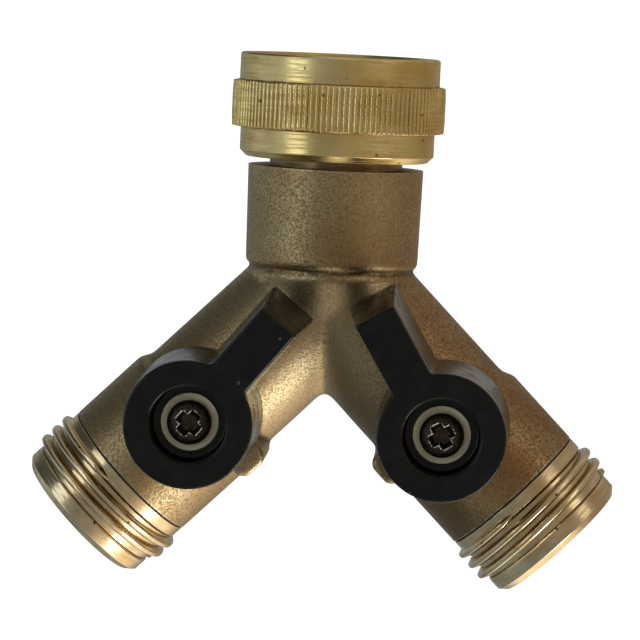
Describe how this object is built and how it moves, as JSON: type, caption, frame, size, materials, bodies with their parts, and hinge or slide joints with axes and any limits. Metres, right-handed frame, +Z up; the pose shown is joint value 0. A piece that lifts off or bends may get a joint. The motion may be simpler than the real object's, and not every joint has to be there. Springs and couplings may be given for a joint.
{
  "type": "hose splitter",
  "caption": "Y-shaped brass garden hose splitter: knurled swivel inlet nut, forked casting, and a quarter-turn ball valve with a black lever in each leg.",
  "frame": {"origin": "centre of the inlet washer's sealing face, inside the swivel nut", "axes": "+Z up out of the inlet, along the nut's axis; the levers face -Y; +X to the right of a person who faces the levers"},
  "size_m": [0.0934, 0.0484, 0.0841],
  "materials": {
    "cast_brass": "as cast, dull brown bronze with a fine sand grain",
    "turned_brass": "bright turned yellow brass with fine lathe lines",
    "outlet_brass": "polished turned brass with a pinkish gold tone",
    "lever_plastic": "glossy black moulded plastic",
    "beige_washer": "matte beige",
    "screw_steel": "dark passivated steel, bright in the recess",
    "black_rubber": "black moulded rubber",
    "white_ptfe": "smooth white PTFE",
    "chromed_ball": "polished chrome",
    "stem_brass": "turned brass"
  },
  "bodies": {
    "fork_body": {"body_casting": "cast_brass", "inlet_tailpiece": "turned_brass", "left_outlet_end": "outlet_brass", "left_outlet_seal": "black_rubber", "left_inner_seat": "white_ptfe", "left_outer_seat": "white_ptfe", "left_thrust_washer": "white_ptfe", "right_outlet_end": "outlet_brass", "right_outlet_seal": "black_rubber", "right_inner_seat": "white_ptfe", "right_outer_seat": "white_ptfe", "right_thrust_washer": "white_ptfe"},
    "swivel_nut": {"swivel_nut": "turned_brass", "inlet_washer": "black_rubber"},
    "left_valve": {"left_ball": "chromed_ball", "left_stem": "stem_brass", "left_stem_o_rings": "black_rubber", "left_lever": "lever_plastic", "left_lever_washer": "beige_washer", "left_lever_screw": "screw_steel"},
    "right_valve": {"right_ball": "chromed_ball", "right_stem": "stem_brass", "right_stem_o_rings": "black_rubber", "right_lever": "lever_plastic", "right_lever_washer": "beige_washer", "right_lever_screw": "screw_steel"}
  },
  "joints": [
    {"name": "nut_swivel", "type": "hinge", "parent": "fork_body", "child": "swivel_nut", "pos_m": [0, 0, 0], "axis": [0, 0, 1], "continuous": true},
    {"name": "left_valve_turn", "type": "hinge", "parent": "fork_body", "child": "left_valve", "pos_m": [-0.01945, 0, -0.04734], "axis": [0, -1, 0], "range_deg": [-2.2, 83.8]},
    {"name": "right_valve_turn", "type": "hinge", "parent": "fork_body", "child": "right_valve", "pos_m": [0.01945, 0, -0.04734], "axis": [0, 1, 0], "range_deg": [-9.6, 76.4]}
  ]
}
